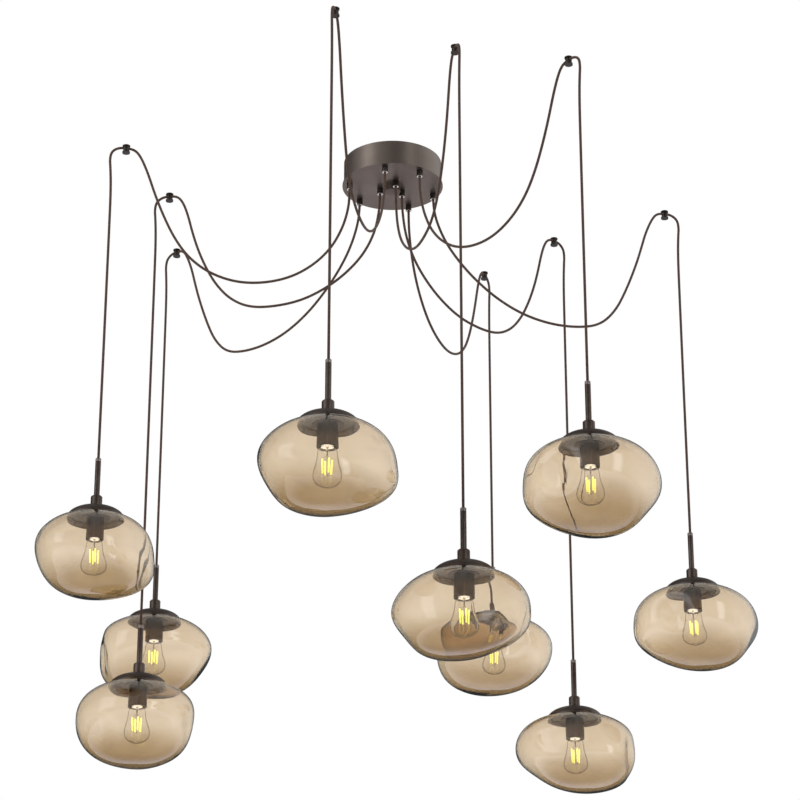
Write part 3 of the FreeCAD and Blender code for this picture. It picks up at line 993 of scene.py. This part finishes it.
def bulb_side(inset):
    """Places down the side of the bulb's glass, from its neck to its tip, set in by inset."""
    route = [Vector((reach, 0, cup_foot + height)) for reach, height in bulb_form]
    line = smooth_points(route, bulb_curve_steps)
    side = []
    for index, spot in enumerate(line):
        before, after = line[max(index - 1, 0)], line[min(index + 1, len(line) - 1)]
        along = (after - before).normalized()
        side.append((max(spot.x + along.z * inset, nearly_axis / 2), spot.z - along.x * inset))
    return side


def bulb_glass_outline():
    return bulb_side(bulb_wall) + bulb_side(0)[::-1]


def stem_outline():
    return [(reach, cup_foot + stem_rise - drop) for reach, drop in glass_stem_form]


def driver_cap_outline():
    """The pale insert that closes the bulb's neck above the stem."""
    top = driver_cap_foot + driver_cap_height
    cap = tube_outline(nearly_axis, driver_cap_radius, driver_cap_foot, top)
    return eased(cap, driver_cap_round)


# %% Strips and wires inside the bulb
strip_count = 4
strip_top = cup_foot - 0.0240
strip_foot = cup_foot - 0.0560
strip_radius = 0.0017
strip_top_ring = 0.0098
strip_foot_ring = 0.0090
strip_turn = 0.25
rod_sides = 10
# how far along the rod its domed end reaches a share of its radius, both in radii
rod_end = [(0.0, 0.35), (0.35, 0.85), (1.0, 1.0)]
wire_radius = 0.0003
stem_core_radius = 0.0008
low_ring_drop = 0.004


def rod_mesh(vertices, faces, start, end, radius):
    """Adds a straight rod with domed ends."""
    along = (end - start).normalized()
    side = along.orthogonal().normalized()
    other = along.cross(side)
    first = len(vertices)
    rings = [(start + along * radius * step, radius * share) for step, share in rod_end]
    rings += [(end - along * radius * step, radius * share) for step, share in rod_end[::-1]]
    for centre, wide in rings:
        for corner in range(rod_sides):
            turn = full_turn * corner / rod_sides
            vertices.append(centre + (side * math.cos(turn) + other * math.sin(turn)) * wide)
    last = len(vertices) - rod_sides
    faces += bands(first, len(rings), rod_sides)
    faces.append(tuple(reversed(range(first, first + rod_sides))))
    faces.append(tuple(range(last, last + rod_sides)))


def strips_and_wires(pendant, tag):
    centre = pendant["rim"]
    strips, strip_faces, wires, wire_faces = [], [], [], []
    stem_head = centre + upright * cup_foot
    stem_foot = stem_head - upright * stem_length
    low_ring = centre + upright * (strip_foot - low_ring_drop)
    rod_mesh(wires, wire_faces, stem_head, stem_foot, stem_core_radius)
    rod_mesh(wires, wire_faces, stem_foot, low_ring, wire_radius)
    for strip in range(strip_count):
        turn = full_turn * (strip + strip_turn) / strip_count
        top = centre + on_circle(turn, strip_top_ring, strip_top)
        foot = centre + on_circle(turn, strip_foot_ring, strip_foot)
        rod_mesh(strips, strip_faces, top, foot, strip_radius)
        rod_mesh(wires, wire_faces, stem_foot, top, wire_radius)
        rod_mesh(wires, wire_faces, low_ring, foot, wire_radius)
    strip_piece = mesh_piece("light_strips" + tag, strips, strip_faces, strip_yellow)
    wire_piece = mesh_piece("bulb_wires" + tag, wires, wire_faces, bulb_wire)
    return strip_piece, wire_piece


# %% [markdown]
# The strips are coated in yellow phosphor that is a little uneven. Bulb glass is made like the
# shades' glass, with hardly any tint or waves and a softer, paler outline of painted shade. The
# insert glows a little, because the strips just below it light it.

# %% Bulb finishes and nine bulbs
strip_glow = 1.7
insert_glow = 1.15
bulb_tint = (0.985, 0.98, 0.97)
bulb_outline_shade = (0.06, 0.05, 0.04)
bulb_waves = 0.00005
strip_relief = 0.0001
bulb_sides = 56
glass_stem_sides = 24
driver_cap_sides = 32


def strip_finish():
    finish = new_finish("yellow_strip")
    patch = finish.grain(500, 2)
    colour = finish.blend(patch.ramp(0.35, 0.7), (0.92, 0.90, 0.16), (0.90, 1.0, 0.34))
    return finish.show(finish.surface({
        "Base Color": colour,
        "Roughness": 0.5,
        "Emission Color": colour,
        "Emission Strength": strip_glow,
        "Normal": finish.bump(patch, strip_relief),
    }))


def insert_finish():
    """White plastic in the bulb's neck, lit by the strips just below it."""
    finish = new_finish("pale_insert")
    speck = finish.grain(400, 2)
    return finish.show(finish.surface({
        "Base Color": finish.blend(speck.ramp(0.4, 0.7), (0.82, 0.80, 0.76), (0.90, 0.88, 0.85)),
        "Roughness": 0.35 + speck * 0.1,
        "Emission Color": (1.0, 0.97, 0.90),
        "Emission Strength": insert_glow,
    }))


def bulb_finish():
    finish = new_finish("bulb_clear")
    # the outline turns into a dark line of painted shade
    seen = finish.blend(edge_of_glass(finish, 0.55, 0.85), bulb_tint, bulb_outline_shade)
    waves = finish.bump(finish.grain(30, 1), bulb_waves)
    return window_mix(finish, clear_surface(finish, seen, waves), bulb_tint)


strip_yellow = strip_finish()
pale_insert = insert_finish()
bulb_wire = bronze_finish("bulb_wire", (0.20, 0.16, 0.13), (0.32, 0.28, 0.24), 0.2)
bulb_clear = bulb_finish()

for pendant in pendants:
    tag = "_" + str(pendant["number"])
    centre = pendant["rim"]
    bulb = spun_piece("bulb_glass" + tag, [bulb_glass_outline()], centre, bulb_clear, bulb_sides)
    stem = spun_piece("bulb_stem" + tag, [stem_outline()], centre, bulb_clear, glass_stem_sides)
    driver_cap = spun_piece(
        "driver_cap" + tag, [driver_cap_outline()], centre, pale_insert, driver_cap_sides)
    strips, wires = strips_and_wires(pendant, tag)
    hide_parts(pendant["body"] + "_bulb")
    for piece in (bulb, stem, driver_cap, strips, wires):
        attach(piece, pendant["body"])
print("bulb vertices", len(bulb.data.vertices))

# %% [markdown]
# ## Pieces that keep their construction shape
#
# The canopy, grips, hooks and everything behind the canopy are already right, so they only
# get a finish. A small bevel on the canopy, grips and hooks catches the light on their edges.

# %% Finishes for the ceiling pieces
plain_relief = 0.00005


def plain_finish(name, colour, roughness):
    finish = new_finish(name)
    mottle = finish.grain(220, 3)
    deep = tuple(0.8 * part for part in colour)
    return finish.show(finish.surface({
        "Base Color": finish.blend(mottle.ramp(0.35, 0.7), deep, colour),
        "Roughness": roughness + mottle * 0.1,
        "Normal": finish.bump(mottle, plain_relief),
    }))


block_plastic = plain_finish("block_plastic", (0.72, 0.70, 0.65), 0.4)
lead_rubber = plain_finish("lead_rubber", (0.05, 0.045, 0.045), 0.5)
ground_green = plain_finish("ground_green", (0.06, 0.30, 0.11), 0.3)

ceiling_finishes = {
    "canopy_drum": canopy_bronze,
    "canopy_plate": canopy_bronze,
    "canopy_cap_nut": canopy_bronze,
    "cord_grips": dark_bronze,
    "grip_rings": bright_metal,
    "hook_spools": dark_bronze,
    "hook_clamps": dark_bronze,
    "grip_nuts": zinc_plate,
    "ceiling_crossbar": zinc_plate,
    "threaded_nipple": zinc_plate,
    "nipple_nuts": zinc_plate,
    "terminal_block": block_plastic,
    "inner_leads": lead_rubber,
    "ground_screw": ground_green,
}
bevel_steps = 2
bevel_angle = math.radians(50)
edge_rounds = {
    "canopy_drum": 0.0006, "canopy_plate": 0.0008, "canopy_cap_nut": 0.0006,
    "cord_grips": 0.0004, "hook_spools": 0.0004, "hook_clamps": 0.0005,
}
for name, material in ceiling_finishes.items():
    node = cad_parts[name]
    for slot in node.material_slots:
        slot.material = material
    if name in edge_rounds:
        bevel = node.modifiers.new("edge", "BEVEL")
        bevel.width = edge_rounds[name]
        bevel.segments = bevel_steps
        bevel.limit_method = "ANGLE"
        bevel.angle_limit = bevel_angle
print("finished", len(ceiling_finishes), "ceiling nodes")

# %% [markdown]
# ## The studio
#
# The picture has no shadows but much soft light, and a white room around. A white world seen
# by the camera and through the glass gives the ground. Mirrors need something darker to
# reflect, or metal and glass edges vanish, so reflections see a dim studio: a broad soft panel
# at the front left, another behind on the right, a little light from above and more from
# below, and two bright windows, one to each side of the front, that make the highlights.

# %% The world
window_blur = 0.08
room_grey = (0.62, 0.62, 0.63)
mirror_tint = (0.96, 0.98, 1.0)
open_white = (1, 1, 1)


def soft_window(direction, side, rise, half_width, half_height):
    """1 inside a soft-edged window that stands side degrees from the front to the left."""
    turn, tilt = math.radians(side), math.radians(rise)
    level = Vector((-math.sin(turn), -math.cos(turn), 0))
    outward = level * math.cos(tilt) + upright * math.sin(tilt)
    across = outward.cross(upright).normalized()
    up = across.cross(outward)
    mask = direction.dot(outward).ramp(0.1, 0.4)
    for axis, half in ((across, half_width), (up, half_height)):
        place = direction.dot(axis)
        entered = place.ramp(-half - window_blur, -half + window_blur)
        left = place.ramp(half - window_blur, half + window_blur)
        mask = mask * entered * (1 - left)
    return mask


def studio_world():
    finish = Finish(bpy.data.worlds.new("studio"))
    direction = finish.node("ShaderNodeTexCoord", output="Generated")
    panel = direction.dot((-0.80, -0.55, 0.22)).ramp(0.45, 0.98)
    back = direction.dot((0.93, 0.33, 0.15)).ramp(0.50, 0.98)
    above = direction.dot((0.0, 0.0, 1.0)).ramp(0.45, 0.98)
    below = direction.dot((0.0, 0.0, -1.0)).ramp(0.2, 0.9)
    left_window = soft_window(direction, 60, 14, 0.20, 0.32)
    right_window = soft_window(direction, -41, 3, 0.13, 0.36)
    grey = panel * 0.42 + back * 0.9 + above * 0.25 + below * 0.58
    grey = grey + left_window * 1.7 + right_window * 3.2 + 0.08
    settings = {"operation": "SCALE"}
    mirrored = finish.node("ShaderNodeVectorMath", settings, {0: mirror_tint, "Scale": grey})
    lighting = finish.blend(finish.ray("Glossy"), room_grey, mirrored)
    open_view = finish.ray("Camera").larger(finish.ray("Transmission"))
    colour = finish.blend(open_view, lighting, open_white)
    return finish.show(finish.node("ShaderNodeBackground", values={"Color": colour}))


bpy.context.scene.world = studio_world()
print("the world has", len(bpy.context.scene.world.node_tree.nodes), "nodes")

# %% [markdown]
# Three soft lamps give the metal its form. They light the pieces only: no mirror and no glass
# shows them. The floor is a wide pale disc. Through glass it is as white as the room. Mirrored
# in glass or metal it is dimmer close under the light, which gives the dark lower edges of the
# picture.

# %% Lamps and floor
lit_place = Vector((0, 0, -0.7))


def soft_lamp(name, place, size, power):
    data = bpy.data.lights.new(name, "AREA")
    data.shape = "RECTANGLE"
    data.size, data.size_y = size
    data.energy = power
    lamp = bpy.data.objects.new(name, data)
    lamp.location = place
    lamp.rotation_euler = (lit_place - Vector(place)).to_track_quat("-Z", "Y").to_euler()
    lamp.visible_camera = False
    lamp.visible_transmission = False
    lamp.visible_glossy = False
    bpy.context.collection.objects.link(lamp)


soft_lamp("left_panel", (-4.2, -3.4, 0.6), (2.2, 3.2), 150)
soft_lamp("right_panel", (4.6, -1.2, -0.2), (1.2, 3.0), 60)
soft_lamp("back_panel", (0.5, 4.5, 0.8), (3.5, 1.5), 60)

floor_height = -4.4
floor_reach = 9.0
floor_sides = 96
floor_dark = (0.92, 0.92, 0.91)
floor_light = (0.95, 0.95, 0.94)
mirrored_floor = (0.93, 0.92, 1.0)


def floor_finish():
    finish = new_finish("pale_floor")
    dust = finish.grain(3, 3)
    colour = finish.blend(dust.ramp(0.3, 0.7), floor_dark, floor_light)
    shader = finish.surface({"Base Color": colour, "Roughness": 0.8})
    glossy_ray = finish.ray("Glossy")
    glass_ray = finish.ray("Transmission")
    far = finish.place().length().ramp(5.0, 7.5)
    glow = 1.0 - glossy_ray * (1.0 - glass_ray) * (0.6 - far * 0.8)
    values = {"Color": mirrored_floor, "Strength": glow}
    mirrored = finish.node("ShaderNodeEmission", values=values)
    values = {0: glossy_ray.larger(glass_ray), 1: shader, 2: mirrored}
    return finish.show(finish.node("ShaderNodeMixShader", values=values))


rim = [
    on_circle(full_turn * step / floor_sides, floor_reach, floor_height)
    for step in range(floor_sides)
]
floor = mesh_piece("floor", rim, [tuple(range(floor_sides))], floor_finish(), smooth=False)
